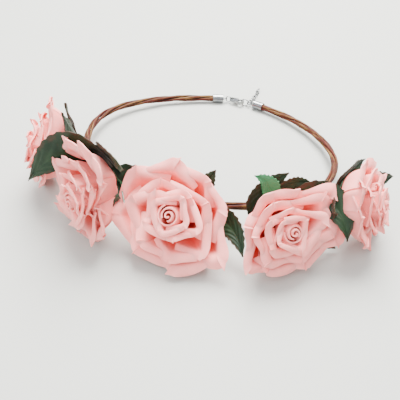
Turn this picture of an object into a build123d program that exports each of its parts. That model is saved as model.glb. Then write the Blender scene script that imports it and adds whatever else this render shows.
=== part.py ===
from build123d import *
import os
from math import acos, atan2, cos, degrees, hypot, pi, radians, sin, tan

# Flower crown: an oval band of four leather cords with foam roses, fabric leaves and a
# clasp at the back, lying on a table. Millimetres. +Y runs from the roses at the front to
# the clasp at the back, +X is the wearer's left side and +Z is up.

# ---- Driving dimensions --------------------------------------------------------------
CORD_D = 2.3  # one leather cord
CORD_GAP = 0.14  # air between neighbouring cords of the bundle
BAND_TILT = 5.25  # degrees; the front of the band is held up by the roses
BAND_CENTRE_Z = 10.95  # height of the middle of the head opening
CLASP_Z = 3.5  # height of the clasp line at the back
# The crown is laid out about the middle of the head opening and then moved so that the
# origin is at the bottom centre of the whole crown.
CROWN_CENTRE = (11.7, -10.1, 0.0)

# Centre line of the cord bundle in the plane of the band, from the left cap round the
# front to the right cap.
BAND_ROUTE = [
    (-15, 79), (-44, 70), (-76, 51), (-98, 25), (-101, -8), (-87, -43),
    (-60, -66), (-27, -77), (8, -78), (43, -72), (75, -56), (97, -28),
    (102, 5), (90, 34), (68, 57), (41, 72.5), (21, 78.6),
]

# End caps, as barrels that swallow the cord ends.
CAP_OD = 7.2
CAP_WALL = 0.5
CAP_LEN = 9.4
CAP_END = 0.7
LOOP_R = 1.7
WIRE_R = 0.42
LEFT_CAP = ((-20.3, 77.4), 17.2)  # cord entry in the band plane, and direction in degrees
RIGHT_CAP = ((26.4, 77.0), 163.0)

# Roses: middle of the outer rim, turn from straight ahead, upward tilt and rim radius.
ROSES = [
    ((-103, -72, 34), -64, 14, 33),
    ((-48, -114, 36.4), -32, 6, 36),
    ((10, -107, 31), 2, 44, 36),
    ((82.5, -97, 32), 38, 30, 32.5),
    ((128.5, -60, 34), 89, 16, 32),
]
ROSE_R = 36.0  # the radius that the petal profiles below are drawn at
PETAL_T = 1.4
PETAL_GAP = 0.35
# Each ring of petals: how many, the angle of the first and the outline of the outer face
# from foot to lip, as (distance from the axis, height along it).
PETAL_RINGS = {
    "outer_petals": (6, 0, [(7, -22), (20, -15.5), (33, -4), (36, -5.5)]),
    "middle_petals": (5, 20, [(7, -18.5), (16, -11), (25, 2), (27.5, 1)]),
    "inner_petals": (5, 50, [(6.6, -14.5), (11.5, -6), (17.5, 6), (19.5, 5.5)]),
}
BUD_PETALS = (3, 10, [(5.2, -11), (7.6, -3), (9.8, 9), (11, 9.4)])
CORE = [(0, -24), (4.4, -24), (4.4, -12), (3.4, -9), (3.4, 6), (0, 7.5)]
CALYX_CUP = [(0, -30), (3.0, -30), (6.4, -24.6), (0, -24.6)]
CALYX_BOTTOM = -30.0
SEPALS = 5
STEM_R = 1.2

TAPE_LEN = 12.0
TAPE_T = 0.7
TAPE_CLEAR = 0.4
STEM_LEAD = 6.0  # straight stem before it enters the tape

# Leaves lie along the backs of the roses and show past their rims. Each row gives the
# rose, the direction of the leaf seen from the front of the flower (0 right, 90 up), how
# far from the axis its tip is, and its width.
LEAVES = [
    (1, 8, 46, 32), (1, 75, 44, 26),
    (2, 82, 47, 34), (2, 26, 41, 18),
    (3, -12, 45, 18), (3, 42, 42, 14),
    (4, 172, 44, 22), (4, 128, 44, 18), (4, 95, 41, 24),
    (5, 155, 42, 26), (5, 112, 43, 18), (5, 70, 43, 18),
]
LEAF_T = 0.8
LEAF_FOOT = 9.0
LEAF_BACK = [(8, -28.2), (20, -21), (34, -8.6), (48, -0.8)]

# Clasp hardware on the line between the two cap loops, in plan.
RING_LEFT = ((-9.15, 80.65), (-4.1, 81.2))  # where its wire passes the loop and the clasp
RING_CLAW = ((5.65, 80.0), (12.1, 80.1))  # where its wire passes the claw and the next ring
RING_RIGHT = ((11.2, 80.1), (15.2, 80.4))
CLASP_EYE = (-3.3, 81.1)
CLASP_TURN = -7.0
CLASP_T = 2.2
CLAW_S = 8.1  # distance from the eye's centre to the claw's centre
LEVER_T = 1.0
PIN_AT = (4.3, 1.4)
PIN_R = 0.5
LINK_WIRE_R = 0.38
LINK_END_R = 1.5
LINK_STRAIGHT = 2.6
LINK_STEP = 0.91  # between the wires of two links, centre to centre
LINK_TURNS = [88, 84, 80, 84, 90, 96]  # direction of each link in plan, degrees
CHAIN_START = (12.85, 81.2, 3.75)
CHAIN_LOW = 1.46
LINK_TILT = 45.0


# ---- Placing -------------------------------------------------------------------------
def band_plane():
    tilt = radians(BAND_TILT)
    return Plane(
        origin=(0, 0, BAND_CENTRE_Z), x_dir=(1, 0, 0), z_dir=(0, sin(tilt), cos(tilt))
    )


def save(shape, node):
    moved = Location((-CROWN_CENTRE[0], -CROWN_CENTRE[1], -CROWN_CENTRE[2])) * shape
    export_step(moved, f"parts/{node}.step")


# ---- Band ----------------------------------------------------------------------------
def corner(before, point, after):
    """Turn, shorter run and outward unit step at one corner of the route."""
    a = Vector(*point) - Vector(*before)
    b = Vector(*after) - Vector(*point)
    turn = radians(a.get_angle(b))
    run = min(a.length, b.length)
    a = a.normalized()
    b = b.normalized()
    outward = Vector(-a.Y - b.Y, a.X + b.X) * -1
    step = outward.normalized() * (1 / cos(turn / 2))
    return turn, run, step


def cord_path(side, height):
    """The route shifted by side outward and height up, with concentric arcs."""
    route = BAND_ROUTE
    points = []
    radii = []
    for i in range(1, len(route) - 1):
        turn, run, step = corner(route[i - 1], route[i], route[i + 1])
        points.append(Vector(*route[i]) + step * side)
        radii.append(0.45 * run / tan(turn / 2) + side)
    first = end_point(route[0], route[1], side)
    last = end_point(route[-1], route[-2], -side)
    flat = [first] + points + [last]
    print("cord radii", [round(r) for r in radii])
    return FilletPolyline(*[(p.X, p.Y, height) for p in flat], radius=radii)


def end_point(end, neighbour, side):
    along = (Vector(*neighbour) - Vector(*end)).normalized()
    return Vector(*end) + Vector(along.Y, -along.X) * side


def cord(side, height):
    path = cord_path(side, height)
    start = Plane(origin=path @ 0, z_dir=path % 0)
    solid = sweep(start * Circle(CORD_D / 2), path=path)
    length = sum(edge.length for edge in path.edges())
    expected = pi * CORD_D ** 2 / 4 * length
    print("cord length", round(length, 1), "volume ratio", round(solid.volume / expected, 4))
    return band_plane() * solid


def make_cords():
    half = (CORD_D + CORD_GAP) / 2
    places = [(half, half), (half, -half), (-half, half), (-half, -half)]
    for number, (side, height) in enumerate(places, start=1):
        save(cord(side, height), f"band_cord_{number}")


# ---- End caps and rings --------------------------------------------------------------
def ring(radius, wire_r, plane):
    return plane * Torus(radius, wire_r)


def end_cap(entry, turn):
    """Barrel along +X from the cord entry, closed at the far end, with a loop on it."""
    outer = Cylinder(CAP_OD / 2, CAP_LEN, align=(Align.CENTER, Align.CENTER, Align.MIN))
    outer = fillet(outer.edges().filter_by(GeomType.CIRCLE), 0.25)
    bore_len = CAP_LEN - CAP_END
    bore = Cylinder(
        CAP_OD / 2 - CAP_WALL, bore_len, align=(Align.CENTER, Align.CENTER, Align.MIN)
    )
    barrel = Rot(0, 90, 0) * (outer - bore)
    loop_at = CAP_LEN + LOOP_R - WIRE_R / 2
    flat = Plane((loop_at, 0, 0), x_dir=(1, 0, 0), z_dir=(0, 0, 1))
    upright = Plane((loop_at, 0, 0), x_dir=(1, 0, 0), z_dir=(0, 1, 0))
    loop = ring(LOOP_R, WIRE_R, flat if turn < 90 else upright)
    cap = barrel + loop
    return band_plane() * (Location((entry[0], entry[1], 0), (0, 0, turn)) * cap)


def at_clasp(x, y, z=CLASP_Z):
    return Vector(x, y, z)


def upright_ring(ends, wire_r):
    """A ring standing on edge, whose wire passes through the two given places."""
    a = at_clasp(*ends[0])
    b = at_clasp(*ends[1])
    along = (b - a).normalized()
    plane = Plane((a + b) * 0.5, x_dir=along, z_dir=along.cross(Vector(0, 0, 1)))
    return ring((b - a).length / 2, wire_r, plane)


def flat_ring(ends, wire_r):
    a = at_clasp(*ends[0])
    b = at_clasp(*ends[1])
    plane = Plane((a + b) * 0.5, x_dir=(1, 0, 0), z_dir=(0, 0, 1))
    return ring((b - a).length / 2, wire_r, plane)


def make_caps_and_rings():
    save(end_cap(*LEFT_CAP), "end_cap_left")
    save(end_cap(*RIGHT_CAP), "end_cap_right")
    save(upright_ring(RING_LEFT, WIRE_R - 0.02), "jump_ring_left")
    save(upright_ring(RING_CLAW, WIRE_R - 0.02), "jump_ring_claw")
    save(flat_ring(RING_RIGHT, WIRE_R - 0.02), "jump_ring_right")


# ---- Lobster clasp -------------------------------------------------------------------
def slab(sketch, thickness):
    return extrude(sketch, amount=thickness / 2, both=True)


def wedge(start, end, reach):
    """A pie slice from start to end degrees about the claw's centre."""
    steps = 6
    rim = [start + (end - start) * i / steps for i in range(steps + 1)]
    points = [(0, 0)]
    points += [(reach * cos(radians(a)), reach * sin(radians(a))) for a in rim]
    return Pos(CLAW_S, 0) * make_face(Polyline(*points, close=True))


def clasp_place():
    return Location((CLASP_EYE[0], CLASP_EYE[1], CLASP_Z), (0, 0, CLASP_TURN))


def clasp_body():
    eye = Circle(2.2)
    claw = Pos(CLAW_S, 0) * Circle(3.4)
    neck = make_face(Polyline((0, 2.1), (CLAW_S, 3.3), (CLAW_S, -3.3), (0, -2.1), close=True))
    outline = eye + neck + claw
    outline -= Circle(1.5)
    outline -= Pos(CLAW_S, 0) * Circle(2.1)
    body = slab(outline, CLASP_T)
    gate = wedge(51, 150, 4.2)
    pocket = Pos(4.4, 2.0) * Rectangle(4.2, 3.6)
    body -= slab(gate, CLASP_T + 1)
    body -= slab(pocket, LEVER_T + 0.3)
    body -= slab(Pos(*PIN_AT) * Circle(PIN_R + 0.01), CLASP_T + 1)
    return clasp_place() * body


def clasp_lever():
    """The sprung gate: an arm on the pin, a curved bar across the claw and a thumb tab."""
    bar = (Pos(CLAW_S, 0) * Circle(2.9)) - (Pos(CLAW_S, 0) * Circle(2.15))
    bar &= wedge(66, 150, 4.2)
    heel = make_face(
        Polyline((3.1, 0.6), (5.4, 0.6), (6.2, 1.7), (5.2, 2.8), (3.6, 4.2), (2.9, 4.0), close=True)
    )
    outline = bar + heel
    lever = slab(outline, LEVER_T)
    lever -= slab(Pos(*PIN_AT) * Circle(PIN_R + 0.05), CLASP_T + 1)
    return clasp_place() * lever


def clasp_pin():
    return clasp_place() * slab(Pos(*PIN_AT) * Circle(PIN_R), CLASP_T + 0.2)


def clasp_spring():
    """A small bent leaf in the pocket behind the lever's heel."""
    leaf = Circle(0.3) - Circle(0.18)
    leaf -= Pos(0.3, 0) * Rectangle(0.3, 0.2)
    return clasp_place() * slab(Pos(2.76, 0.95) * leaf, LEVER_T)


def make_clasp():
    save(clasp_body(), "clasp_body")
    save(clasp_lever(), "clasp_lever")
    save(clasp_pin(), "clasp_pin")
    save(clasp_spring(), "clasp_spring")


# ---- Extender chain ------------------------------------------------------------------
def link_shape():
    half = LINK_STRAIGHT / 2
    path = SlotCenterToCenter(LINK_STRAIGHT, 2 * LINK_END_R).wires()[0]
    start = Plane(origin=(half, LINK_END_R, 0), z_dir=(1, 0, 0))
    return sweep(start * Circle(LINK_WIRE_R), path=path, transition=Transition.ROUND)


def chain_places():
    """Where each link's near wire passes, its direction and its side tilt."""
    reach = LINK_STRAIGHT / 2 + LINK_END_R
    near = Vector(*CHAIN_START)
    heights = [CHAIN_START[2], 1.9] + [CHAIN_LOW] * len(LINK_TURNS)
    for number, turn in enumerate(LINK_TURNS):
        drop = heights[number + 1] - heights[number]
        flat = (4 * reach * reach - drop * drop) ** 0.5
        plan = radians(turn)
        along = Vector(flat * cos(plan), flat * sin(plan), drop).normalized()
        tilt = LINK_TILT if number % 2 else -LINK_TILT
        yield near, along, tilt
        near = near + along * (2 * reach - LINK_STEP)
        heights[number + 1] = near.Z


def chain_link(near, along, tilt):
    reach = LINK_STRAIGHT / 2 + LINK_END_R
    side = Vector(0, 0, 1).cross(along).normalized()
    up = along.cross(side).normalized()
    normal = up * cos(radians(tilt)) + side * sin(radians(tilt))
    plane = Plane(near + along * reach, x_dir=along, z_dir=normal)
    return plane * link_shape()


def make_chain():
    for number, place in enumerate(chain_places(), start=1):
        save(chain_link(*place), f"extender_link_{number}")
        print("link", number, [round(c, 2) for c in tuple(place[0])])


# ---- Roses ---------------------------------------------------------------------------
def rose_plane(centre, turn, tilt):
    """Local +Z looks out of the flower, +X is to its right and +Y is upward."""
    a = radians(turn)
    t = radians(tilt)
    out = (sin(a) * cos(t), -cos(a) * cos(t), sin(t))
    return Plane(origin=centre, x_dir=(cos(a), sin(a), 0), z_dir=out)


def wall_profile(outer):
    """A petal's section in the XZ plane: the outer face, and the inner one inside it."""
    shift = (-PETAL_T * 0.45, PETAL_T * 0.85)
    inner = [(r + shift[0], h + shift[1]) for r, h in reversed(outer)]
    points = [(r, 0, h) for r, h in outer + inner]
    return make_face(Polyline(*points, close=True))


def petal_ring(count, first, outer, scale):
    face = wall_profile([(r * scale, h * scale) for r, h in outer])
    foot = outer[0][0] * scale
    gap = degrees(PETAL_GAP / foot)
    step = 360 / count
    petals = []
    for i in range(count):
        petal = revolve(face, Axis.Z, revolution_arc=step - gap)
        petals.append(Rot(0, 0, first + i * step) * petal)
    return petals


def turned(profile, scale):
    points = [(r * scale, 0, h * scale) for r, h in profile]
    return revolve(make_face(Polyline(*points, close=True)), Axis.Z, revolution_arc=360)


def calyx(size):
    cup = turned(CALYX_CUP, 1.0)
    outline = Polyline((4.5, -1.8), (10, -2.8), (18, 0), (10, 2.8), (4.5, 1.8), close=True)
    blade = extrude(make_face(outline), amount=0.7)
    blade = Pos(2.4, 0, -26.0) * (Rot(0, -24, 0) * blade)
    shape = cup
    for i in range(SEPALS):
        shape += Rot(0, 0, 360 / SEPALS * i) * blade
    shape = scale(shape, by=size)
    bore = Pos(0, 0, CALYX_BOTTOM * size + 1.5) * Cylinder(STEM_R + 0.05, 3.0)
    return shape - bore


# ---- Stems and tape ------------------------------------------------------------------
def nearest_band(point):
    """Where the tape goes: just along the band from the place nearest to a point."""
    path = cord_path(0, 0)
    wire = band_plane() * path
    steps = 240
    best = min(range(steps + 1), key=lambda i: (wire @ (i / steps) - point).length)
    at = best / steps + (TAPE_LEN / 2 + STEM_LEAD) / wire.length
    return wire @ at, (wire % at).normalized()


def stem_points(plane, scale):
    foot = plane.from_local_coords(Vector(0, 0, CALYX_BOTTOM * scale))
    back = plane.from_local_coords(Vector(0, 0, CALYX_BOTTOM * scale - 5))
    on_band, along = nearest_band(back)
    lean = foot - on_band
    lean = (lean - along * lean.dot(along)).normalized()
    apart = CORD_D + CORD_GAP + TAPE_CLEAR + STEM_R + 0.3
    start = on_band + lean * apart - along * (TAPE_LEN / 2 + STEM_LEAD)
    finish = on_band + lean * apart + along * (TAPE_LEN / 2 - 1)
    return foot, back, start, finish, on_band, along, lean, apart


def stem(plane, scale):
    foot, back, start, finish = stem_points(plane, scale)[:4]
    inside = plane.from_local_coords(Vector(0, 0, CALYX_BOTTOM * scale + 2.8))
    points = [inside, back, start, finish]
    radii = []
    for i in (1, 2):
        a = points[i] - points[i - 1]
        b = points[i + 1] - points[i]
        turn = radians(a.get_angle(b))
        run = min(a.length, b.length, 1.8 * STEM_LEAD)
        radii.append(0.45 * run / tan(turn / 2))
    path = FilletPolyline(*points, radius=radii)
    start_plane = Plane(origin=path @ 0, z_dir=path % 0)
    return sweep(start_plane * Circle(STEM_R), path=path)


def tape_wrap(plane, scale):
    on_band, along, lean, apart = stem_points(plane, scale)[4:]
    bundle_r = (CORD_D + CORD_GAP) * 0.7072 + CORD_D / 2 + TAPE_CLEAR
    stem_r = STEM_R + 0.3

    def section(extra):
        big = Circle(bundle_r + extra)
        small = Pos(apart, 0) * Circle(stem_r + extra)
        outline = make_hull((big.edges() + small.edges()))
        return outline

    tube = section(TAPE_T) - section(0)
    place = Plane(on_band, x_dir=lean, z_dir=along)
    return place * extrude(tube, amount=TAPE_LEN / 2, both=True)


# ---- Leaves --------------------------------------------------------------------------
def leaf(scale, turn, tip, width):
    """A thin pointed plate that follows the cone of the petals' backs."""
    outer = [(r * scale, h * scale) for r, h in LEAF_BACK]
    inner = [(r, h + LEAF_T) for r, h in reversed(outer)]
    face = make_face(Polyline(*[(r, 0, h) for r, h in outer + inner], close=True))
    shell = revolve(face, Axis.Z, revolution_arc=120)
    shell = Rot(0, 0, -60) * shell
    foot = LEAF_FOOT * scale
    middle = foot + (tip - foot) * 0.45
    outline = make_face(
        Curve() + [
            ThreePointArc((foot, 0), (middle, width / 2), (tip, 0)),
            ThreePointArc((tip, 0), (middle, -width / 2), (foot, 0)),
        ]
    )
    prism = extrude(outline, amount=60, both=True)
    return Rot(0, 0, turn) * (shell & prism)


# ---- Assembly ------------------------------------------------------------------------
def make_rose(number, centre, turn, tilt, rim):
    plane = rose_plane(centre, turn, tilt)
    scale = rim / ROSE_R
    name = f"rose_{number}"
    for ring_name, (count, first, outer) in PETAL_RINGS.items():
        petals = petal_ring(count, first, outer, scale)
        save(Compound([plane * petal for petal in petals]), f"{name}_{ring_name}")
    bud = [turned(CORE, scale)] + petal_ring(*BUD_PETALS, scale)
    save(Compound([plane * piece for piece in bud]), f"{name}_bud")
    save(plane * calyx(scale), f"{name}_calyx")
    save(stem(plane, scale), f"{name}_stem")
    save(tape_wrap(plane, scale), f"{name}_tape_wrap")
    leaves = [leaf(scale, *item[1:]) for item in LEAVES if item[0] == number]
    save(Compound([plane * piece for piece in leaves]), f"{name}_leaves")


def main():
    os.makedirs("parts", exist_ok=True)
    make_cords()
    make_caps_and_rings()
    make_clasp()
    make_chain()
    for number, rose in enumerate(ROSES, start=1):
        make_rose(number, *rose)


main()
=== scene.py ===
"""Flower crown: the looks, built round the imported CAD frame. All lengths are in metres."""
import bpy
import math
import numpy as np
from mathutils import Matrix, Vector


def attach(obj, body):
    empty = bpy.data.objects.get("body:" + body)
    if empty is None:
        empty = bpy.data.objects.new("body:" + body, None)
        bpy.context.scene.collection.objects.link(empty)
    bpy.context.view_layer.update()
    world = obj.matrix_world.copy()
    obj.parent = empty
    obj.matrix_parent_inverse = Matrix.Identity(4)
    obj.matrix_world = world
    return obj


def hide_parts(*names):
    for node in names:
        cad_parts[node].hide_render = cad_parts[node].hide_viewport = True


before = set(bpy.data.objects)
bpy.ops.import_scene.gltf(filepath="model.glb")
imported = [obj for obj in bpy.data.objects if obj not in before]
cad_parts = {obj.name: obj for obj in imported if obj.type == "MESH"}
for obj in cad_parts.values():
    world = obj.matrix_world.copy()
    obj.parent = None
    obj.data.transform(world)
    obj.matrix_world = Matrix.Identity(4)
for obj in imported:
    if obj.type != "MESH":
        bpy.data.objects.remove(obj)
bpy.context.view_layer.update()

MM = 0.001
TURN = 2 * math.pi
CROWN = "crown"
NORMAL_SMOOTHING = 4  # so that a sheet's two faces don't cross at a sharp bend
SHARP_ANGLE = math.radians(55)  # a sheet's cut edges stay crisp

# ---- Camera: above the crown, in front of it and a little to the right -----------------
CAMERA_TURN = math.radians(18.42)
CAMERA_DOWN = math.radians(42)
CAMERA_DISTANCE = 0.42
CAMERA_AIM = np.array([-0.0008, -0.0440, 0.0])
CAMERA_LENS = 51.03
CAMERA_SENSOR = 36


def make_camera():
    data = bpy.data.cameras.new("camera")
    data.lens = CAMERA_LENS
    data.sensor_width = CAMERA_SENSOR
    camera = bpy.data.objects.new("camera", data)
    bpy.context.scene.collection.objects.link(camera)
    level = math.cos(CAMERA_DOWN)
    look = np.array([
        -math.sin(CAMERA_TURN) * level,
        math.cos(CAMERA_TURN) * level,
        -math.sin(CAMERA_DOWN),
    ])
    camera.location = CAMERA_AIM - look * CAMERA_DISTANCE
    camera.rotation_euler = (math.pi / 2 - CAMERA_DOWN, 0, CAMERA_TURN)
    bpy.context.scene.camera = camera


# ---- Small helpers ---------------------------------------------------------------------
def unit(v):
    v = np.asarray(v, float)
    return v / np.linalg.norm(v)


def smooth(x):
    x = np.clip(x, 0, 1)
    return x * x * (3 - 2 * x)


def add_mesh(name, points, faces, material, shade_smooth=True):
    mesh = bpy.data.meshes.new(name)
    mesh.from_pydata([tuple(p) for p in points], [], [tuple(f) for f in faces])
    mesh.validate()
    obj = bpy.data.objects.new(name, mesh)
    bpy.context.scene.collection.objects.link(obj)
    mesh.materials.append(material)
    mesh.polygons.foreach_set("use_smooth", [shade_smooth] * len(mesh.polygons))
    mesh.set_sharp_from_angle(angle=SHARP_ANGLE)
    return obj


def grid_faces(columns, rows, start=0, flip=False):
    """Quads of a grid stored row by row, with the given number of columns."""
    faces = []
    for r in range(rows - 1):
        for c in range(columns - 1):
            a = start + r * columns + c
            quad = (a, a + 1, a + columns + 1, a + columns)
            faces.append(quad[::-1] if flip else quad)
    return faces


def grid_normals(grid):
    across = np.gradient(grid, axis=1)
    along = np.gradient(grid, axis=0)
    normal = np.cross(across, along)
    normal /= np.maximum(np.linalg.norm(normal, axis=2, keepdims=True), 1e-15)
    for _ in range(NORMAL_SMOOTHING):
        wide = np.concatenate([normal[:, :1], normal, normal[:, -1:]], axis=1)
        normal = wide[:, :-2] + 2 * wide[:, 1:-1] + wide[:, 2:]
        normal /= np.linalg.norm(normal, axis=2, keepdims=True)
    return normal


def sheet_solid(grid, thickness):
    """Points and faces of a closed sheet of even thickness round a grid of points."""
    rows, columns = grid.shape[:2]
    half = grid_normals(grid) * thickness / 2
    front = (grid + half).reshape(-1, 3)
    back = (grid - half).reshape(-1, 3)
    count = rows * columns
    faces = grid_faces(columns, rows)
    faces += grid_faces(columns, rows, start=count, flip=True)
    rim = list(range(columns))
    rim += [r * columns + columns - 1 for r in range(1, rows)]
    rim += [(rows - 1) * columns + c for c in range(columns - 2, -1, -1)]
    rim += [r * columns for r in range(rows - 2, 0, -1)]
    for a, b in zip(rim, rim[1:] + rim[:1]):
        faces.append((b, a, a + count, b + count))
    return np.vstack([front, back]), faces


def set_attribute(obj, name, values):
    layer = obj.data.attributes.new(name, "FLOAT", "POINT")
    layer.data.foreach_set("value", np.asarray(values, np.float32))


# ---- Materials -------------------------------------------------------------------------
class Nodes:
    """A few lines' worth of shorthand for building a material's nodes."""

    def __init__(self, name):
        self.material = bpy.data.materials.new(name)
        self.material.use_nodes = True
        self.tree = self.material.node_tree
        self.shader = self.tree.nodes["Principled BSDF"]

    def add(self, kind, **values):
        node = self.tree.nodes.new(kind)
        for key, value in values.items():
            if hasattr(node, key):
                setattr(node, key, value)
            else:
                node.inputs[key.replace("_", " ")].default_value = value
        return node

    def link(self, source, target):
        self.tree.links.new(source, target)

    def coords(self):
        return self.add("ShaderNodeTexCoord").outputs["Object"]

    def noise(self, scale, detail=3.0, roughness=0.5, vector=None):
        node = self.add("ShaderNodeTexNoise", Scale=scale, Detail=detail, Roughness=roughness)
        self.link(vector if vector is not None else self.coords(), node.inputs["Vector"])
        return node.outputs["Fac"]

    def ramp(self, value, stops):
        node = self.add("ShaderNodeValToRGB")
        elements = node.color_ramp.elements
        while len(elements) < len(stops):
            elements.new(0.5)
        for element, (place, colour) in zip(elements, stops):
            element.position = place
            element.color = (*colour, 1)
        self.link(value, node.inputs["Fac"])
        return node.outputs["Color"]

    def mix(self, factor, a, b):
        node = self.add("ShaderNodeMix", data_type="RGBA")
        for socket, value in ((node.inputs[0], factor), (node.inputs[6], a), (node.inputs[7], b)):
            if isinstance(value, (int, float)):
                socket.default_value = value
            elif isinstance(value, tuple):
                socket.default_value = (*value, 1)
            else:
                self.link(value, socket)
        return node.outputs[2]

    def map(self, value, low, high, new_low, new_high):
        node = self.add("ShaderNodeMapRange")
        self.link(value, node.inputs["Value"])
        for key, number in zip((1, 2, 3, 4), (low, high, new_low, new_high)):
            node.inputs[key].default_value = number
        return node.outputs["Result"]

    def attribute(self, name):
        return self.add("ShaderNodeAttribute", attribute_name=name).outputs["Fac"]

    def bump(self, height, strength, distance):
        node = self.add("ShaderNodeBump", Strength=strength, Distance=distance)
        self.link(height, node.inputs["Height"])
        self.link(node.outputs["Normal"], self.shader.inputs["Normal"])

    def set(self, **values):
        for key, value in values.items():
            socket = self.shader.inputs[key.replace("_", " ")]
            if isinstance(value, bpy.types.NodeSocket):
                self.link(value, socket)
            else:
                socket.default_value = value


def petal_foam():
    """Thin closed-cell foam: pale pink, with painted shade that turns it coral where the sheets crowd
    together deep in the flower.
    """
    m = Nodes("petal_foam")
    depth = m.attribute("depth")
    # Painted shade: pale pink at the crests, deepening to coral towards the petals' feet, for the shade
    # and bounced light between the sheets.
    colour = m.ramp(depth, [
        (0.0, (0.97, 0.335, 0.305)),
        (0.22, (0.96, 0.235, 0.205)),
        (0.5, (0.93, 0.15, 0.12)),
        (1.0, (0.88, 0.07, 0.05)),
    ])
    mottle = m.map(m.noise(160, 4), 0.3, 0.7, 0.94, 1.04)
    tint = m.add("ShaderNodeHueSaturation")
    m.link(colour, tint.inputs["Color"])
    m.link(mottle, tint.inputs["Value"])
    m.set(Base_Color=tint.outputs["Color"])
    m.set(Roughness=m.map(m.noise(400, 2), 0.3, 0.7, 0.55, 0.72))
    m.set(Subsurface_Weight=0.35, Subsurface_Scale=0.002, Specular_IOR_Level=0.25)
    m.shader.inputs["Subsurface Radius"].default_value = (1.0, 0.35, 0.3)
    m.bump(m.noise(1500, 3), 0.12, 0.0004)
    return m.material


def leaf_fabric():
    """Stiffened satin: dark green with pale veins, browned at the edge, and mint underneath."""
    m = Nodes("leaf_fabric")
    edge = m.attribute("edge")
    vein = m.attribute("vein")
    under = m.attribute("under")
    patches = m.ramp(m.noise(90, 4), [
        (0.35, (0.0035, 0.0105, 0.004)),
        (0.7, (0.013, 0.028, 0.010)),
    ])
    ragged = m.add("ShaderNodeMath", operation="ADD")
    m.link(edge, ragged.inputs[0])
    m.link(m.map(m.noise(160, 3), 0.3, 0.7, -0.22, 0.22), ragged.inputs[1])
    brown = m.map(ragged.outputs[0], 0.80, 1.05, 0.0, 0.85)
    colour = m.mix(brown, patches, (0.045, 0.020, 0.012))
    colour = m.mix(m.map(vein, 0, 1, 0.0, 0.3), colour, (0.055, 0.10, 0.045))
    colour = m.mix(under, colour, (0.04, 0.22, 0.09))
    m.set(Base_Color=colour)
    wave = m.add("ShaderNodeTexWave", Scale=900.0, Distortion=1.5)
    m.link(m.coords(), wave.inputs["Vector"])
    m.set(Roughness=m.map(wave.outputs["Fac"], 0, 1, 0.42, 0.58))
    m.set(Sheen_Weight=0.04, Sheen_Roughness=0.4, Specular_IOR_Level=0.2)
    height = m.add("ShaderNodeMath", operation="SUBTRACT")
    m.link(wave.outputs["Fac"], height.inputs[0])
    m.link(vein, height.inputs[1])
    m.bump(height.outputs[0], 0.25, 0.0002)
    return m.material


def leather_cord():
    """Waxed leather lace: brown, streaked gold and red, with painted shade where it faces the others."""
    m = Nodes("leather_cord")
    along = m.attribute("along")
    around = m.attribute("around")
    place = m.add("ShaderNodeCombineXYZ")
    m.link(m.map(along, 0, 1, 0, 38), place.inputs["X"])
    m.link(m.map(around, 0, 1, 0, 3.2), place.inputs["Y"])
    m.link(m.attribute("lace"), place.inputs["Z"])
    streak = m.noise(1.0, 5, 0.65, place.outputs[0])
    colour = m.ramp(streak, [
        (0.38, (0.014, 0.005, 0.004)),
        (0.46, (0.095, 0.014, 0.010)),
        (0.52, (0.070, 0.022, 0.009)),
        (0.62, (0.21, 0.115, 0.035)),
    ])
    # Painted shade: the side of each lace that faces the other laces is darkened.
    m.set(Base_Color=m.mix(m.attribute("painted_gap_shade"), colour, (0.018, 0.006, 0.005)))
    m.set(Roughness=m.map(streak, 0.3, 0.7, 0.55, 0.42))
    m.set(Specular_IOR_Level=0.12)
    m.bump(m.noise(3.0, 5, 0.7, place.outputs[0]), 0.5, 0.0003)
    return m.material


def silver_plate():
    m = Nodes("silver_plate")
    tarnish = m.map(m.noise(300, 2), 0.35, 0.65, 0, 1)
    m.set(Base_Color=m.mix(tarnish, (0.18, 0.19, 0.21), (0.31, 0.31, 0.30)))
    m.set(Metallic=1.0, Roughness=m.map(m.noise(900, 3), 0.3, 0.7, 0.10, 0.24))
    m.bump(m.noise(500, 2), 0.05, 0.0002)
    return m.material


def spring_steel():
    m = Nodes("spring_steel")
    m.set(Base_Color=m.mix(m.noise(700, 2), (0.36, 0.36, 0.37), (0.52, 0.52, 0.53)))
    m.set(Metallic=1.0, Roughness=m.map(m.noise(1200, 3), 0.3, 0.7, 0.28, 0.42))
    return m.material


def green_plastic():
    m = Nodes("green_plastic")
    m.set(Base_Color=m.mix(m.noise(240, 3), (0.011, 0.050, 0.020), (0.026, 0.095, 0.038)))
    m.set(Roughness=m.map(m.noise(500, 3), 0.3, 0.7, 0.34, 0.5))
    m.bump(m.noise(900, 3), 0.12, 0.0003)
    return m.material


def floral_tape():
    """Crimped, waxed crepe paper."""
    m = Nodes("floral_tape")
    m.set(Base_Color=m.mix(m.noise(420, 4), (0.006, 0.016, 0.007), (0.020, 0.038, 0.016)))
    m.set(Roughness=m.map(m.noise(700, 3), 0.3, 0.7, 0.6, 0.8))
    m.bump(m.noise(1300, 4), 0.5, 0.0004)
    return m.material


def pale_floor():
    m = Nodes("pale_floor")
    m.set(Base_Color=m.mix(m.noise(6, 3), (0.42, 0.43, 0.40), (0.445, 0.455, 0.425)))
    m.set(Roughness=0.65)
    return m.material


# ---- Cords: four laces twisted round the band's centre line ----------------------------
BAND_TILT = math.radians(5.25)
BAND_CENTRE = (-0.0117, 0.0101, 0.01095)
BAND_ROUTE = [
    (-0.015, 0.079), (-0.044, 0.070), (-0.076, 0.051), (-0.098, 0.025), (-0.101, -0.008),
    (-0.087, -0.043), (-0.060, -0.066), (-0.027, -0.077), (0.008, -0.078), (0.043, -0.072),
    (0.075, -0.056), (0.097, -0.028), (0.102, 0.005), (0.090, 0.034), (0.068, 0.057),
    (0.041, 0.0725), (0.021, 0.0786),
]
LACES = 4
LACE_D = 0.0023
LACE_WORN = 0.98  # the leather is a little thinner than its nominal size
LACE_APART = 0.00172  # from the band's centre line to a lace's
LACE_STEPS = 520
LACE_SIDES = 12
TWIST_PITCH = 0.105
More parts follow.
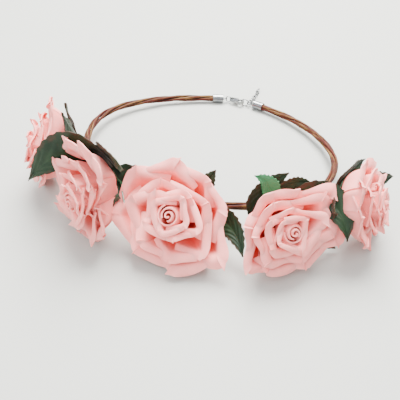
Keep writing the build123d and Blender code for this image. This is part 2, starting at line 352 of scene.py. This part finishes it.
# The lengths of the waves that make the laces uneven: in their twist, in how far they stand
# from the centre line, and in their thickness.
TWIST_WAVE = 0.117
APART_WAVE = 0.031
WORN_WAVE = 0.009
CREASES = 5  # fine ridges round a lace, which wind along it
CREASE_TURN = 400  # radians in a metre


def band_spline():
    """The band's route as a smooth line of points, read from its spline."""
    curve = bpy.data.curves.new("band_route", "CURVE")
    curve.dimensions = "3D"
    curve.resolution_u = 24
    spline = curve.splines.new("NURBS")
    spline.points.add(len(BAND_ROUTE) - 1)
    for point, (u, v) in zip(spline.points, BAND_ROUTE):
        x = BAND_CENTRE[0] + u
        y = BAND_CENTRE[1] + v * math.cos(BAND_TILT)
        z = BAND_CENTRE[2] - v * math.sin(BAND_TILT)
        point.co = (x, y, z, 1)
    spline.order_u = 3
    spline.use_endpoint_u = True
    holder = bpy.data.objects.new("band_route", curve)
    bpy.context.scene.collection.objects.link(holder)
    bpy.context.view_layer.update()
    mesh = bpy.data.meshes.new_from_object(holder)
    points = np.array([v.co for v in mesh.vertices])
    bpy.data.objects.remove(holder)
    return points


def frames_along(points):
    """Sideways and upward unit vectors at each point of a line."""
    along = np.gradient(points, axis=0)
    along /= np.linalg.norm(along, axis=1, keepdims=True)
    side = np.cross(along, (0, 0, 1))
    side /= np.linalg.norm(side, axis=1, keepdims=True)
    return side, np.cross(side, along)


def tube(name, points, turns, radius, material):
    """A closed tube along a line; radius has a row for each point and a column for each turn."""
    side, up = frames_along(points)
    ring = np.cos(turns)[None, :, None] * side[:, None] + np.sin(turns)[None, :, None] * up[:, None]
    body = points[:, None] + ring * radius[:, :, None]
    count, around = radius.shape
    faces = []
    for r in range(count - 1):
        for c in range(around):
            d = (c + 1) % around
            faces.append((r * around + c, (r + 1) * around + c, (r + 1) * around + d, r * around + d))
    faces.append(tuple(range(around)))
    faces.append(tuple(range((count - 1) * around, count * around))[::-1])
    return add_mesh(name, body.reshape(-1, 3), faces, material)


def lace_path(number, centre_line, rng):
    """A lace's own line: how far along each point is, the point, and its turn round the band."""
    steps = np.linalg.norm(np.diff(centre_line, axis=0), axis=1)
    run = np.concatenate([[0], np.cumsum(steps)])
    places = np.linspace(0, run[-1], LACE_STEPS)
    line = np.stack([np.interp(places, run, centre_line[:, i]) for i in range(3)], axis=1)
    side, up = frames_along(line)
    loose = 0.16 * np.sin(TURN * places / TWIST_WAVE + rng.uniform(0, 6))
    angle = math.pi / 4 + number * TURN / LACES + TURN * places / TWIST_PITCH + loose
    apart = LACE_APART * (1 + 0.05 * np.sin(TURN * places / APART_WAVE + rng.uniform(0, 6)))
    path = line + side * (apart * np.cos(angle))[:, None] + up * (apart * np.sin(angle))[:, None]
    return places, path, angle


def make_lace(number, centre_line, material):
    rng = np.random.default_rng(100 + number)
    places, path, angle = lace_path(number, centre_line, rng)
    turns = np.linspace(0, TURN, LACE_SIDES, endpoint=False)
    facing_out = turns[None, :] - angle[:, None]
    worn = 1 + 0.035 * np.sin(TURN * places / WORN_WAVE + rng.uniform(0, 6))[:, None]
    flat = 1 - 0.09 * np.cos(2 * facing_out)
    creases = 1 + 0.02 * np.sin(CREASES * turns[None, :] + places[:, None] * CREASE_TURN)
    radius = LACE_D / 2 * worn * flat * creases * LACE_WORN
    lace = tube(f"lace_{number}", path, turns, radius, material)
    set_attribute(lace, "along", np.repeat(places / places[-1], LACE_SIDES))
    set_attribute(lace, "around", np.tile(np.abs(turns / math.pi - 1), LACE_STEPS))
    set_attribute(lace, "lace", np.full(LACE_STEPS * LACE_SIDES, number * 3.7))
    # painted shade on the side of the lace that faces the other laces
    set_attribute(lace, "painted_gap_shade", smooth((0.25 - np.cos(facing_out)) / 0.75).ravel())
    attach(lace, CROWN)
    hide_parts(f"band_cord_{number}")


# ---- Roses -----------------------------------------------------------------------------
ROSES = 5
ROSE_R = 36 * MM  # the CAD petals' largest radius at scale 1
OUTER_FOOT = -22 * MM  # and their lowest point, along the rose's axis
FOAM_T = 0.95 * MM
OUTER_FACE_SHADE = 0.18  # how much less a petal's outer face gets the painted shade of its depth
FLOOR_GAP = 0.7 * MM
FLOOR_SOFTNESS = 1.5 * MM
FLOOR_REACH = 20  # in softnesses; points higher than this stay exactly where they are
SWIRL_COLUMNS = 56
SWIRL_ROWS = 9
SWIRL_FOOT = -8


class Rose:
    """A rose's own frame, read from its CAD petals: z looks out of the flower, y is up."""

    def __init__(self, number):
        self.number = number
        self.name = f"rose_{number}"
        petals = self.points("outer_petals")
        bud = self.points("bud").mean(axis=0)
        self.z = unit(bud - self.points("calyx").mean(axis=0))
        self.x = unit(np.cross((0, 0, 1), self.z))
        self.y = np.cross(self.z, self.x)
        offset = petals - bud
        height = offset @ self.z
        radius = np.linalg.norm(offset - height[:, None] * self.z, axis=1)
        self.scale = radius.max() / ROSE_R
        self.origin = bud + self.z * (height.min() - OUTER_FOOT * self.scale)
        self.rng = np.random.default_rng(number)

    def points(self, part):
        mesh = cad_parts[f"{self.name}_{part}"].data
        found = np.empty(len(mesh.vertices) * 3)
        mesh.vertices.foreach_get("co", found)
        return found.reshape(-1, 3)

    def place(self, local):
        """Millimetres in the rose's frame, at scale 1, to metres in the crown's."""
        local = np.asarray(local) * MM * self.scale
        return self.origin + local[..., :1] * self.x + local[..., 1:2] * self.y + local[..., 2:] * self.z


def polar(angle, radius):
    return np.array([math.cos(math.radians(angle)), math.sin(math.radians(angle))]) * radius


# Each ring of petals, in millimetres and degrees. A petal rises from its foot (radius, height)
# to a crest, whose tip has the given radius and height. The crest runs a share "side" of the
# way to its neighbours' tips, falls by "dip" there, and winds in or out by "spiral". From the
# crest the edge rolls outward through "turn" at the radius "roll", and at the tip the radius
# is larger by "flare".
RINGS = {
    "outer_petals": dict(
        count=7, first=12, tip=38.0, height=-3.6, foot=(7, -20.5), roll=4.1, turn=104,
        side=0.86, dip=3.0, spiral=1.5, flare=5.0,
    ),
    "middle_petals": dict(
        count=5, first=33, tip=31.0, height=1.0, foot=(6.6, -17), roll=3.7, turn=106,
        side=0.86, dip=3.2, spiral=1.5, flare=4.2,
    ),
    "inner_petals": dict(
        count=5, first=66, tip=22.5, height=6.0, foot=(6, -13), roll=3.0, turn=110,
        side=0.88, dip=3.0, spiral=1.3, flare=3.4,
    ),
    "bud": dict(
        count=4, first=20, tip=15.5, height=9.8, foot=(4.5, -9), roll=2.1, turn=112,
        side=0.92, dip=2.6, spiral=1.2, flare=2.0,
    ),
}
# Directions and radii of the tips, as the maker set them, where they are far from even.
OUTER_TIPS = {
    1: [(-50, 31), (0, 27), (50, 30), (98, 41), (150, 44), (205, 45), (258, 42)],
    2: [(8, 14), (58, 36), (92, 39), (121, 38), (155, 46), (180, 54), (222, 51), (262, 51), (322, 29)],
    3: [(-30, 45), (20, 36), (58, 35), (102, 36), (145, 44), (190, 44), (232, 36), (284, 37)],
    4: [(-24, 45), (0, 48), (24, 46), (72, 28), (114, 30), (163, 31), (212, 41), (236, 36), (293, 33)],
    5: [(-60, 38), (-18, 38), (30, 33), (75, 35), (122, 35), (156, 32), (205, 30), (258, 40)],
}
MIDDLE_TIPS = {
    2: [(8, 15), (60, 26), (120, 30), (160, 36), (228, 35), (296, 32)],
    3: [(-40, 36), (30, 28), (120, 27), (172, 31), (237, 29), (280, 29)],
    4: [(-14, 38), (28, 36), (118, 25), (178, 28), (228, 29), (285, 26)],
    5: [(-60, 31), (0, 32), (62, 29), (128, 26), (200, 24)],
}
INNER_TIPS = {
    2: [(10, 14), (72, 20), (140, 22), (210, 23), (285, 18)],
    3: [(-14, 25), (60, 19), (140, 18), (214, 20), (300, 17)],
    4: [(8, 29), (88, 18), (150, 21), (212, 21), (288, 19)],
    5: [(-40, 23), (35, 23), (105, 20), (170, 17), (250, 20)],
}
SET_TIPS = {"outer_petals": OUTER_TIPS, "middle_petals": MIDDLE_TIPS, "inner_petals": INNER_TIPS}
# How uneven the other tips are: in direction, in their share of the radius, and in height.
UNEVEN_TURN = 12
UNEVEN_REACH = 0.10
UNEVEN_HEIGHT = 0.8
TIP_INSIDE = 1.4  # how far the crest lies inside the given tips, in rolls of the edge
TIP_WEIGHT = 5.5  # how sharp a petal's tip is in plan
# How far its edge falls inward on the way to its neighbours' tips: under one, over the next.
TUCK_UNDER = 0.74
LIE_OVER = 0.90
PETAL_COLUMNS = 33
COLUMN_SPACING = 1.1  # above 1, so that the columns stand closer together near the tip
BODY_ROWS = 12
# A body's profile leans out to this share of its reach at this share of its height.
KNEE_OUT = 0.86
KNEE_UP = 0.20
KNEE_WAVE = 0.04
# The shares of a petal's half width over which its tip is pulled out, and rolls less.
PULLED_SHARE = 0.13
OPEN_SHARE = 0.2
# How a lip's bend is shared along it: tight at the crest, nearly flat at the free edge.
LIP_BENDS = [0.20, 0.21, 0.17, 0.13, 0.10, 0.07, 0.05, 0.04, 0.03]


def crest_line(tip, before, after, side, spiral):
    """The petal's upper edge in plan: round its tip, and along to its neighbours' tips."""
    a = np.linspace(-1, 1, PETAL_COLUMNS)
    a = np.sign(a) * np.abs(a) ** COLUMN_SPACING
    s = ((a + 1) / 2)[:, None]
    left = tip + (before * TUCK_UNDER - tip) * side
    right = tip + (after * LIE_OVER - tip) * side
    weights = (1 - s) ** 2, 2 * TIP_WEIGHT * s * (1 - s), s ** 2
    line = (weights[0] * left + weights[1] * tip + weights[2] * right) / sum(weights)
    reach = np.linalg.norm(line, axis=1)
    run = np.linalg.norm(line - tip, axis=1)
    ends = np.where(a < 0, run[0], run[-1])
    share = np.sign(a) * run / ends
    return share, line * (1 + spiral * share / reach)[:, None]


def ways_out(line):
    """At each point of a crest: the way from the rose's middle, and the way its edge rolls."""
    tangent = np.gradient(line, axis=0)
    square = np.stack([tangent[:, 1], -tangent[:, 0]], axis=1)
    square /= np.linalg.norm(square, axis=1, keepdims=True)
    radial = line / np.linalg.norm(line, axis=1, keepdims=True)
    return radial, square * 0.8 + radial * 0.2


def petal_body(a, line, radial, height, ring, wave):
    """Rows of points from the petal's foot up to its crest, and how steeply it arrives there."""
    foot_r, foot_z = ring["foot"]
    foot = radial * foot_r
    reach = np.linalg.norm(line, axis=1) - foot_r
    rise = height - foot_z
    knee_out = KNEE_OUT + KNEE_WAVE * np.sin(2.2 * a + wave[0])
    knee_up = KNEE_UP + KNEE_WAVE * np.sin(2.9 * a + wave[1])
    rows = []
    for s in np.linspace(0, 1, BODY_ROWS):
        out = 2 * s * (1 - s) * knee_out * reach + s * s * reach
        up = 2 * s * (1 - s) * knee_up * rise + s * s * rise
        rows.append(np.column_stack([foot + radial * out[:, None], foot_z + up]))
    return rows, np.arctan2((1 - knee_up) * rise, (1 - knee_out) * reach)


def petal_lip(a, line, outward, height, lean, ring, wave):
    """Rows of points from the crest outward over the rolled edge, pulled out at its tip."""
    pulled = 1 + ring["flare"] / ring["roll"] * np.exp(-np.abs(a) / PULLED_SHARE)
    radius = ring["roll"] * (1 + 0.18 * np.sin(2.6 * a + wave[0])) * (1 - 0.25 * a ** 2) * pulled
    opened = 1 - 0.30 * np.exp(-(a / OPEN_SHARE) ** 2)
    turn = math.radians(ring["turn"]) * (1 - 0.12 * np.sin(3.7 * a + wave[1])) * opened
    step = radius * turn / len(LIP_BENDS)
    out = np.zeros(PETAL_COLUMNS)
    up = np.zeros(PETAL_COLUMNS)
    bent = np.zeros(PETAL_COLUMNS)
    rows = []
    for share in LIP_BENDS:
        angle = lean - bent - turn * share / 2
        out = out + step * np.cos(angle)
        up = up + step * np.sin(angle)
        bent = bent + turn * share
        rows.append(np.column_stack([line + outward * out[:, None], height + up]))
    return rows


def petal_grid(tips, k, ring, rng):
    """A grid of points in the rose's frame, from the petal's foot up and over its edge."""
    tip, before, after = tips[k], tips[k - 1], tips[(k + 1) % len(tips)]
    a, line = crest_line(tip[:2], before[:2], after[:2], ring["side"], ring["spiral"])
    wave = rng.uniform(0, TURN, 6)
    line = line * (1 + 0.018 * np.sin(4.1 * a + wave[0]))[:, None]
    radial, outward = ways_out(line)
    height = tip[2] - ring["dip"] * (a - 0.25) ** 2 + 0.5 * np.sin(3.3 * a + wave[1])
    body, lean = petal_body(a, line, radial, height, ring, wave[2:4])
    return np.array(body + petal_lip(a, line, outward, height, lean, ring, wave[4:6]))


def ring_tips(rose, part, ring):
    """The tips' plan places and heights, a little uneven as on a hand-made flower."""
    rng = rose.rng
    first = ring["first"] + 47 * rose.number
    spread = []
    for k in range(ring["count"]):
        angle = first + 360 / ring["count"] * k + rng.uniform(-UNEVEN_TURN, UNEVEN_TURN)
        spread.append((angle, ring["tip"] * (1 + rng.uniform(-UNEVEN_REACH, UNEVEN_REACH))))
    tips = []
    for angle, radius in SET_TIPS.get(part, {}).get(rose.number, spread):
        height = ring["height"] + rng.uniform(-UNEVEN_HEIGHT, UNEVEN_HEIGHT)
        tips.append((*polar(angle, radius - ring["roll"] * TIP_INSIDE), height))
    return np.array(tips)


def row_shade_depths(body_rows, rows):
    """How deep each row lies, which sets its painted shade: 1 at the petal's foot, 0 from its crest
    outward.
    """
    depth = np.zeros(rows)
    depth[:body_rows] = np.clip(1.7 * (1 - np.linspace(0, 1, body_rows)) ** 1.2, 0, 1)
    return depth


def above_floor(points):
    """Points near the floor bend up to lie along it, as soft foam does."""
    points = points.copy()
    depth = (points[..., 2] - FLOOR_GAP) / FLOOR_SOFTNESS
    bent = np.log1p(np.exp(np.minimum(depth, FLOOR_REACH)))
    points[..., 2] = FLOOR_GAP + FLOOR_SOFTNESS * np.where(depth > FLOOR_REACH, depth, bent)
    return points


def join_sheets(name, rose, grids, material):
    """One mesh of several closed sheets, with how deep each point lies in the flower, which sets its
    painted shade.
    """
    points, faces, depth = [], [], []
    for grid in grids:
        solid, sheet_faces = sheet_solid(above_floor(rose.place(grid)), FOAM_T)
        faces += [tuple(i + len(points) for i in face) for face in sheet_faces]
        points += list(solid)
        rows, columns = grid.shape[:2]
        inside = np.repeat(row_shade_depths(min(BODY_ROWS, rows), rows), columns)
        depth += list(OUTER_FACE_SHADE * inside) + list(inside)
    obj = add_mesh(name, points, faces, material)
    set_attribute(obj, "depth", depth)
    return obj


def swirl_grid(first, radius, height, turns, tighten):
    """The bud's rolled heart: one strip wound inward, which bulges and then closes on top."""
    a = np.linspace(0, 1, SWIRL_COLUMNS)
    angle = math.radians(first) + a * turns * TURN
    r = radius * (1 - tighten * a)
    ridge = height + 1.4 * a + 0.4 * np.sin(9 * a)
    grid = []
    for s in np.linspace(0, 1, SWIRL_ROWS):
        out = r * (0.70 + 0.42 * math.sin(math.pi * (0.15 + 0.75 * s)))
        z = SWIRL_FOOT + (ridge - SWIRL_FOOT) * s
        grid.append(np.column_stack([out * np.cos(angle), out * np.sin(angle), z]))
    return np.array(grid)


def make_petals(rose, part, ring, material):
    tips = ring_tips(rose, part, ring)
    grids = [petal_grid(tips, k, ring, rose.rng) for k in range(len(tips))]
    if part == "bud":
        first = 40 * rose.number
        grids.append(swirl_grid(first, radius=8.4, height=10.0, turns=1.25, tighten=0.45))
        grids.append(swirl_grid(first + 150, radius=4.0, height=11.6, turns=1.2, tighten=0.8))
    obj = join_sheets(f"{rose.name}_{part}_foam", rose, grids, material)
    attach(obj, CROWN)
    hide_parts(f"{rose.name}_{part}")


# ---- Leaves ----------------------------------------------------------------------------
# rose; direction of the foot; direction and radius of the point that the midrib bends
# towards; direction and radius of the tip; width; how far the tip comes forward. Directions
# are seen from the rose's front, 0 to its right and 90 upward.
LEAVES = [
    (1, 75, (75, 26), (80, 40), 18, 0),
    (1, 150, (150, 26), (150, 42), 20, -3),
    (2, 108, (118, 47), (192, 52), 32, 22),
    (2, 92, (104, 38), (50, 47), 20, 0),
    (3, 146, (153, 62), (-168, 44), 29, 11),
    (3, 5, (20, 38), (-19, 51), 18, 0),
    (3, 58, (60, 24), (61, 40), 16, 0),
    (3, -84, (-84, 24), (-86, 40), 14, 0),
    (4, 140, (125, 31), (70, 38), 24, -2),
    (4, 84, (84, 32), (110, 43), 13, 2),
    (4, 68, (76, 34), (42, 38), 14, 0),
    (4, 40, (33, 54), (-22, 41), 28, 22),
    (4, -26, (-26, 30), (-34, 50), 18, -6),
    (5, 40, (35, 25), (10, 47), 14, 0),
    (5, 0, (0, 28), (-14, 52), 22, 17),
    (5, 150, (150, 20), (150, 34), 18, -4),
]
MINT_LEAF = (4, 2)  # this one shows its paler side
LEAF_FOOT = 9.0
LEAF_T = 0.45 * MM
# Radius and height of the surface behind the petals that the leaves lie along.
LEAF_BACK = [(8, -27.6), (20, -21), (34, -12.5), (52, -6.5), (70, -2)]
LEAF_COLUMNS = 33
LEAF_ROWS = 61
TEETH = 13
TOOTH = 1.1
TOOTH_PEAK = 0.75  # where in a tooth's length its point is
SIDE_VEINS = 7
VEIN_SLANT = 0.30
# How deep the midrib lies, and how high the edge waves and the cloth between the veins swells.
FOLD = 1.1
RIPPLE = 1.0
RIPPLE_TURN = 10.5  # radians in a leaf's length
QUILT = 0.9
LEAF_SET_BACK = 0.6
RIB_WIDTH = 0.05  # as a share of the leaf's half width
VEIN_WIDTH = 0.09  # as a share of the way from one vein to the next


def leaf_half_width(t, width):
    """Half the leaf's width along it: round at the foot, drawn out to a point."""
    along = np.clip(t, 0.015, 0.985) ** 0.78
    return width / 2 * np.sin(math.pi * along) ** 0.85 * (1 - 0.18 * t)


def midrib(foot_turn, bend_to, tip):
    """The leaf's middle line seen along the rose's axis, and the direction across it."""
    t = np.linspace(0, 1, LEAF_ROWS)[:, None]
    points = polar(foot_turn, LEAF_FOOT), polar(*bend_to), polar(*tip)
    line = (1 - t) ** 2 * points[0] + 2 * t * (1 - t) * points[1] + t ** 2 * points[2]
    along = np.gradient(line, axis=0)
    along /= np.linalg.norm(along, axis=1, keepdims=True)
    return t, line, np.stack([-along[:, 1], along[:, 0]], axis=1)


def teeth(t, edge):
    """How far the serrated edge stands out, along the leaf and across it."""
    phase = (t * TEETH) % 1
    tooth = np.where(phase < TOOTH_PEAK, phase / TOOTH_PEAK, (1 - phase) / (1 - TOOTH_PEAK))
    return TOOTH * tooth * smooth((edge - 0.7) / 0.3) * smooth(t * 8) * smooth((1 - t) * 6)


def leaf_grid(foot_turn, bend_to, tip, width, forward, rng):
    t, line, sideways = midrib(foot_turn, bend_to, tip)
    b = np.linspace(-1, 1, LEAF_COLUMNS)[None, :]
    edge = np.abs(b)
    across = b * (leaf_half_width(t, width) + teeth(t, edge))
    plan = line[:, None] + sideways[:, None] * across[:, :, None]
    back = np.interp(np.hypot(plan[..., 0], plan[..., 1]), *np.array(LEAF_BACK).T)
    wave = rng.uniform(0, TURN, 2)
    fold = -FOLD * (1 - edge) ** 2
    ripple_turn = RIPPLE_TURN * t + wave[0] + 1.3 * np.sign(b)
    ripple = RIPPLE * edge ** 2 * np.sin(ripple_turn) * smooth(t * 3)
    quilt = QUILT * np.sin((t + VEIN_SLANT * edge) * TURN * SIDE_VEINS) * (1 - edge) * edge
    z = back + fold + ripple + quilt + forward * smooth(t * 1.15 - 0.15) - LEAF_SET_BACK
    return np.concatenate([plan, z[..., None]], axis=2), t, b


def declare_leaf(rose, grid):
    """The midrib's points, placed in the crown's frame; nothing further is done with them."""
    middle = rose.place(grid[:, LEAF_COLUMNS // 2])


def make_leaf(rose, order, shape, material):
    rng = np.random.default_rng(1000 * rose.number + order)
    grid, t, b = leaf_grid(*shape, rng)
    solid, faces = sheet_solid(above_floor(rose.place(grid)), LEAF_T)
    obj = add_mesh(f"{rose.name}_leaf_{order}", solid, faces, material)
    edge = np.abs(b) + 0 * t
    near_tip = smooth((t - 0.8) / 0.2) + 0 * b
    rib = np.exp(-(b / RIB_WIDTH) ** 2) * (1 - 0.6 * t)
    vein_phase = ((t + VEIN_SLANT * edge) * SIDE_VEINS) % 1 - 0.5
    veins = np.exp(-(vein_phase / VEIN_WIDTH) ** 2) * 0.35 * (1 - edge)
    # How much of the underside's colour the two faces show.
    front_and_back = (1.0, 1.0) if (rose.number, order) == MINT_LEAF else (0.0, 0.03)
    set_attribute(obj, "edge", np.tile(np.maximum(edge, near_tip).ravel(), 2))
    set_attribute(obj, "vein", np.tile(np.maximum(rib, veins).ravel(), 2))
    set_attribute(obj, "under", np.repeat(front_and_back, edge.size))
    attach(obj, CROWN)
    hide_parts(f"{rose.name}_leaves")
    declare_leaf(rose, grid)


# ---- Tape --------------------------------------------------------------------------------
TAPE_STRIP = 3.4 * MM
TAPE_LIFT = 0.34 * MM
TAPE_WRINKLE = 0.03 * MM
TAPE_CREASES = 9  # fine creases round the tape, which wind along it
TAPE_CREASE_TURN = 2600  # radians in a metre
TAPE_VOXEL = 0.3 * MM


def dense_copy(node, name):
    """A finely divided copy of a CAD node."""
    obj = bpy.data.objects.new(name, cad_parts[node].data.copy())
    bpy.context.scene.collection.objects.link(obj)
    remesh = obj.modifiers.new("remesh", "REMESH")
    remesh.mode = "VOXEL"
    remesh.voxel_size = TAPE_VOXEL
    bpy.context.view_layer.update()
    dense = bpy.data.meshes.new_from_object(obj.evaluated_get(bpy.context.evaluated_depsgraph_get()))
    obj.modifiers.clear()
    obj.data = dense
    return obj


def long_axis(points):
    """The direction in which the points spread the most."""
    spreads, directions = np.linalg.eigh(np.cov(points.T))
    return directions[:, np.argmax(spreads)]


def wind_strip(mesh, middle, axis):
    """Raise the overlapping turns of a strip, wound round the axis, on the mesh."""
    points = np.empty(len(mesh.vertices) * 3)
    mesh.vertices.foreach_get("co", points)
    points = points.reshape(-1, 3)
    normal = np.array([v.normal for v in mesh.vertices])
    side = unit(np.cross(axis, (0.3, 0.2, 0.9)))
    up = np.cross(axis, side)
    run = (points - middle) @ axis
    angle = np.arctan2((points - middle) @ up, (points - middle) @ side)
    turn = (run / TAPE_STRIP + angle / TURN) % 1
    wrinkle = np.sin(angle * TAPE_CREASES + run * TAPE_CREASE_TURN) * TAPE_WRINKLE
    lift = (TAPE_LIFT * turn ** 1.5 + wrinkle) * (1 - np.abs(normal @ axis))
    mesh.vertices.foreach_set("co", (points + normal * lift[:, None]).ravel())


def make_tape(rose, material):
    """The sleeve's own shape, with the strip's turns raised on it."""
    node = f"{rose.name}_tape_wrap"
    points = rose.points("tape_wrap")
    middle = (points.max(axis=0) + points.min(axis=0)) / 2
    obj = dense_copy(node, f"{node}_strip")
    wind_strip(obj.data, middle, long_axis(points - middle))
    obj.data.materials.clear()
    obj.data.materials.append(material)
    obj.data.polygons.foreach_set("use_smooth", [True] * len(obj.data.polygons))
    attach(obj, CROWN)
    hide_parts(node)


# ---- CAD nodes that stay as they are -------------------------------------------------------
CHAIN_LINKS = 6


def paint(material, *nodes):
    for node in nodes:
        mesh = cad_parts[node].data
        if not mesh.materials:
            mesh.materials.append(material)
        for index in range(len(mesh.materials)):
            mesh.materials[index] = material


def paint_hardware():
    nodes = ["end_cap_left", "end_cap_right", "clasp_body", "clasp_lever"]
    nodes += [f"jump_ring_{place}" for place in ("left", "claw", "right")]
    nodes += [f"extender_link_{i}" for i in range(1, CHAIN_LINKS + 1)]
    paint(silver_plate(), *nodes)
    paint(spring_steel(), "clasp_pin", "clasp_spring")


# ---- Stage ---------------------------------------------------------------------------------
FLOOR_HALF = 2.0
SKY_STRENGTH = 1.95


def make_floor():
    points = [(x, y, 0) for y in (-FLOOR_HALF, FLOOR_HALF) for x in (-FLOOR_HALF, FLOOR_HALF)]
    floor = add_mesh("floor", points, [(0, 1, 3, 2)], pale_floor(), shade_smooth=False)


def make_light(name, place, aim, size, power, colour):
    data = bpy.data.lights.new(name, "AREA")
    data.shape = "DISK"
    data.size = size
    data.energy = power
    data.color = colour
    light = bpy.data.objects.new(name, data)
    bpy.context.scene.collection.objects.link(light)
    light.location = place
    away = Vector(place) - Vector(aim)
    light.rotation_euler = away.to_track_quat("Z", "Y").to_euler()


def make_sky():
    """A pale sky, darker towards the horizon, so that metal has something to reflect."""
    world = bpy.data.worlds.new("sky")
    world.use_nodes = True
    tree = world.node_tree
    background = tree.nodes["Background"]
    direction = tree.nodes.new("ShaderNodeTexCoord")
    split = tree.nodes.new("ShaderNodeSeparateXYZ")
    sky = tree.nodes.new("ShaderNodeValToRGB")
    sky.color_ramp.elements[0].position = 0.0
    sky.color_ramp.elements[0].color = (0.30, 0.31, 0.32, 1)
    sky.color_ramp.elements[1].position = 0.75
    sky.color_ramp.elements[1].color = (0.97, 0.985, 1.0, 1)
    tree.links.new(direction.outputs["Generated"], split.inputs[0])
    tree.links.new(split.outputs["Z"], sky.inputs["Fac"])
    tree.links.new(sky.outputs["Color"], background.inputs["Color"])
    background.inputs["Strength"].default_value = SKY_STRENGTH
    bpy.context.scene.world = world


def make_lights():
    make_light(
        "window", place=(-0.08, 0.65, 1.2), aim=(0, -0.03, 0), size=1.1, power=118,
        colour=(1.0, 0.985, 0.955),
    )
    make_light(
        "front", place=(-0.3, -0.9, 0.9), aim=(0, -0.05, 0), size=1.2, power=15,
        colour=(0.97, 0.985, 1.0),
    )
    make_sky()


def make_roses():
    foam = petal_foam()
    fabric = leaf_fabric()
    tape = floral_tape()
    plastic = green_plastic()
    for number in range(1, ROSES + 1):
        rose = Rose(number)
        for part, ring in RINGS.items():
            make_petals(rose, part, ring, foam)
        own = [leaf[1:] for leaf in LEAVES if leaf[0] == number]
        for order, leaf in enumerate(own, start=1):
            make_leaf(rose, order, leaf, fabric)
        make_tape(rose, tape)
        paint(plastic, f"{rose.name}_calyx", f"{rose.name}_stem")


def main():
    make_camera()
    leather = leather_cord()
    centre_line = band_spline()
    for number in range(1, LACES + 1):
        make_lace(number, centre_line, leather)
    make_floor()
    make_lights()
    make_roses()
    paint_hardware()


main()
